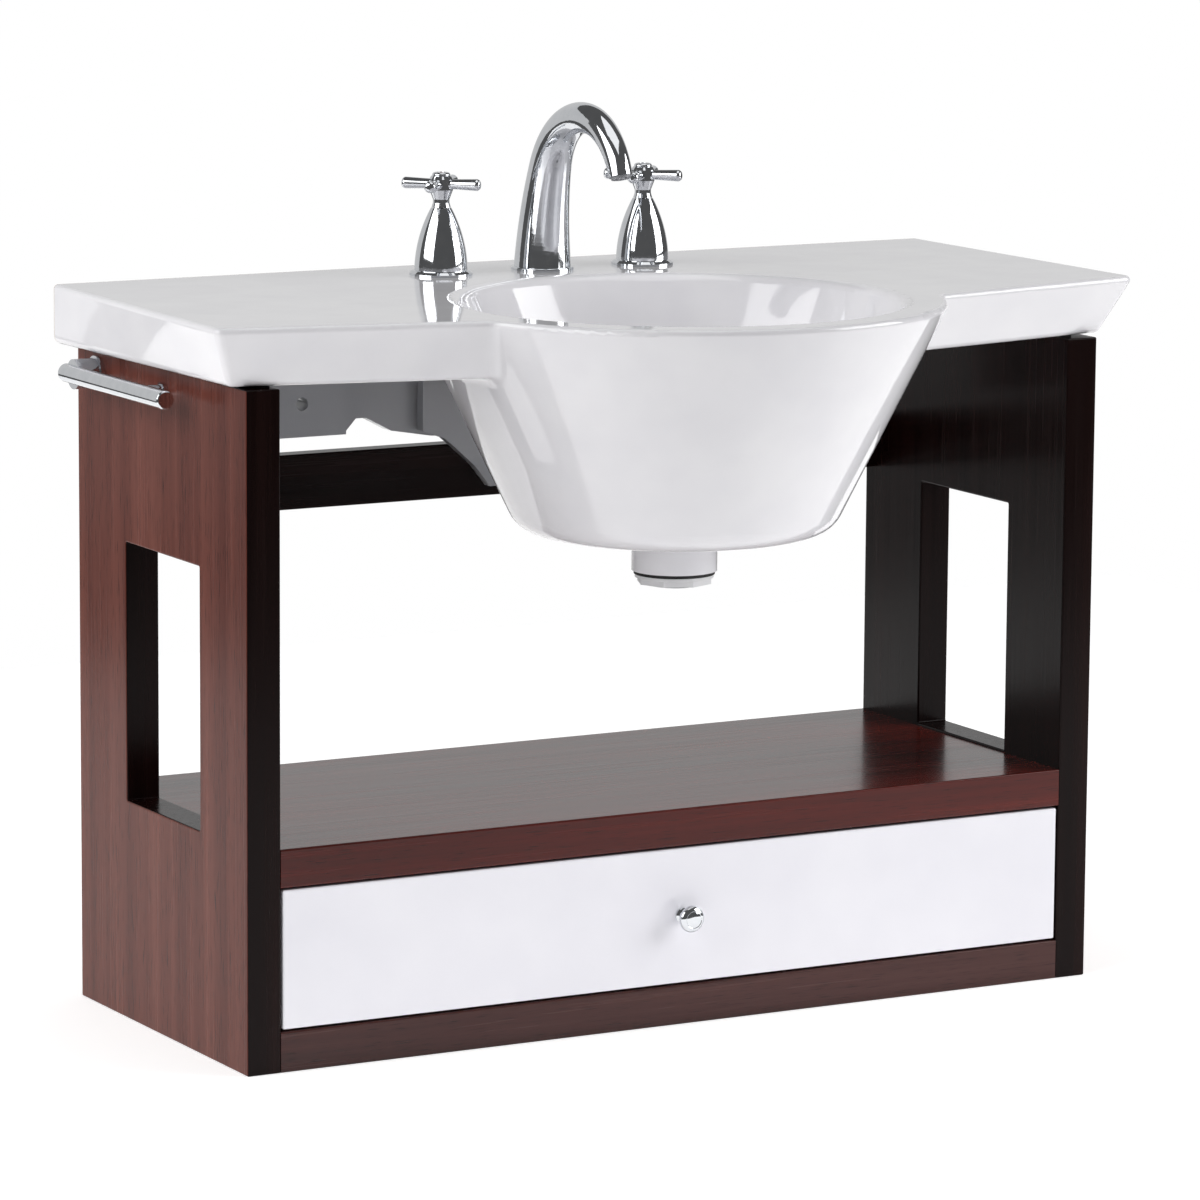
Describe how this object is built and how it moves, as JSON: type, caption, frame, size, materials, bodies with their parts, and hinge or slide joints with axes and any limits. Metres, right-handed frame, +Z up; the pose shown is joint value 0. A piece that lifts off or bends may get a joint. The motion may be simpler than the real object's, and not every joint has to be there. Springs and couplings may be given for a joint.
{
  "type": "wash console with ceramic bowl",
  "caption": "Ceramic wash console: round front bowl in a swept top on a dark wood frame with open shelf, white drawer, arched mixer and side towel bar.",
  "frame": {"origin": "under the middle of the whole object, on the level of the wooden frame's underside", "axes": "+X to the user's right along the top, +Y towards the wall, +Z up"},
  "size_m": [0.8967, 0.548, 0.7858],
  "materials": {
    "stained_wood": "dark mahogany stain under satin lacquer",
    "white_lacquer": "gloss white lacquer on board",
    "drawer_board": "clear sealed board",
    "beech_dowel": "raw",
    "glazed_ceramic": "gloss white glaze",
    "black_rubber": "matte",
    "polished_chrome": "polished",
    "aerator_plastic": "satin",
    "waste_plastic": "moulded",
    "plain_brass": "machined",
    "plated_steel": "zinc plated",
    "cartridge_plastic": "moulded"
  },
  "bodies": {
    "cabinet": {"left_side_panel": "stained_wood", "right_side_panel": "stained_wood", "bottom_panel": "stained_wood", "shelf_panel": "stained_wood", "back_rail": "stained_wood", "drawer_bay_back": "drawer_board", "frame_dowels": "beech_dowel", "ceramic_top": "glazed_ceramic", "basin_pads": "black_rubber", "drain_gasket": "black_rubber", "spout": "polished_chrome", "spout_base_ring": "polished_chrome", "hot_bell": "polished_chrome", "cold_bell": "polished_chrome", "drain_body": "polished_chrome", "overflow_ring": "polished_chrome", "towel_bar": "polished_chrome", "towel_bar_posts": "polished_chrome", "aerator": "aerator_plastic", "drain_nut": "waste_plastic", "stopper_guide": "waste_plastic", "spout_shank": "plain_brass", "hot_valve_body": "plain_brass", "cold_valve_body": "plain_brass", "deck_nuts": "plain_brass", "mixer_crossing": "plain_brass", "deck_washers": "plated_steel", "hanger_screws": "plated_steel", "left_hanger_plate": "plated_steel", "right_hanger_plate": "plated_steel", "slide_cabinet_screws": "plated_steel", "towel_bar_screws": "plated_steel", "left_slide_cabinet": "plated_steel", "right_slide_cabinet": "plated_steel", "hot_cartridge": "cartridge_plastic", "cold_cartridge": "cartridge_plastic"},
    "drawer": {"drawer_front": "white_lacquer", "drawer_box_front": "drawer_board", "drawer_left_side": "drawer_board", "drawer_right_side": "drawer_board", "drawer_back": "drawer_board", "drawer_bottom": "drawer_board", "drawer_front_screws": "plated_steel", "drawer_knob": "polished_chrome", "knob_screw": "plated_steel", "left_slide_drawer": "plated_steel", "right_slide_drawer": "plated_steel", "slide_drawer_screws": "plated_steel"},
    "slide_middle": {"left_slide_middle": "plated_steel", "right_slide_middle": "plated_steel"},
    "hot_handle": {"hot_handle": "polished_chrome", "hot_stem": "plated_steel", "hot_handle_screw": "plated_steel", "hot_index_cap": "polished_chrome"},
    "cold_handle": {"cold_handle": "polished_chrome", "cold_stem": "plated_steel", "cold_handle_screw": "plated_steel", "cold_index_cap": "polished_chrome"},
    "stopper": {"drain_stopper": "polished_chrome"}
  },
  "joints": [
    {"name": "drawer_slide", "type": "slide", "parent": "cabinet", "child": "drawer", "axis": [0, -1, 0], "range_m": [0, 0.24]},
    {"name": "slide_middle_travel", "type": "slide", "parent": "cabinet", "child": "slide_middle", "axis": [0, -1, 0], "range_m": [0, 0.12]},
    {"name": "hot_turn", "type": "hinge", "parent": "cabinet", "child": "hot_handle", "pos_m": [-0.1015, 0.198, 0.7], "axis": [0, 0, 1], "range_deg": [0, 90]},
    {"name": "cold_turn", "type": "hinge", "parent": "cabinet", "child": "cold_handle", "pos_m": [0.1015, 0.198, 0.7], "axis": [0, 0, 1], "range_deg": [-90, 0]},
    {"name": "stopper_lift", "type": "slide", "parent": "cabinet", "child": "stopper", "axis": [0, 0, 1], "range_m": [0, 0.008]}
  ],
  "couplings": [
    {"joint": "slide_middle_travel", "follows": "drawer_slide", "ratio": 0.5}
  ]
}
